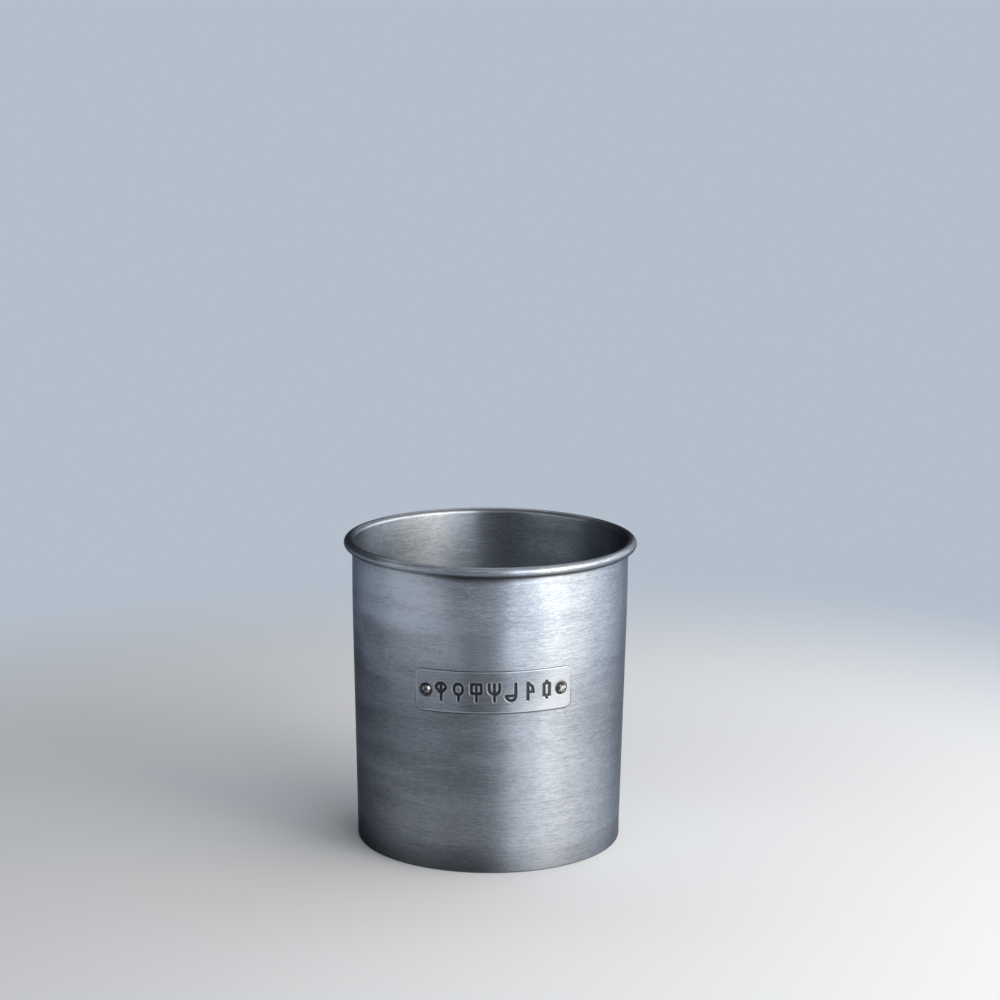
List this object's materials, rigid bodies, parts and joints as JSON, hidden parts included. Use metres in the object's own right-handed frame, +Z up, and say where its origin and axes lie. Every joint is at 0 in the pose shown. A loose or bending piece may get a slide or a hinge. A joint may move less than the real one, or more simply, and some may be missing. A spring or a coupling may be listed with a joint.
{
  "type": "utensil holder",
  "caption": "Open round steel canister for kitchen tools, slightly wider at the mouth, with a rolled rim bead, a recessed base and a curved plate riveted to the front.",
  "frame": {"origin": "middle of the foot, on the surface that the holder stands on", "axes": "+Z up along the holder's axis; -Y is the front, where the plate is; +X is to the right as seen from the front"},
  "size_m": [0.1428, 0.1428, 0.15],
  "materials": {
    "wall_steel": "antiqued grey, brushed round the wall, with soft patina and fine specks",
    "base_steel": "plain mill finish, brushed in rings",
    "wire_steel": "plain drawn wire",
    "plate_steel": "antiqued and brushed along its length, dark patina in the stamped marks",
    "rivet_steel": "hammered round heads, dark round their edge and rubbed bright on the crown"
  },
  "bodies": {
    "root": {"wall": "wall_steel", "base": "base_steel", "rim_wire": "wire_steel", "nameplate": "plate_steel", "rivet_left": "rivet_steel", "rivet_right": "rivet_steel"}
  },
  "joints": []
}
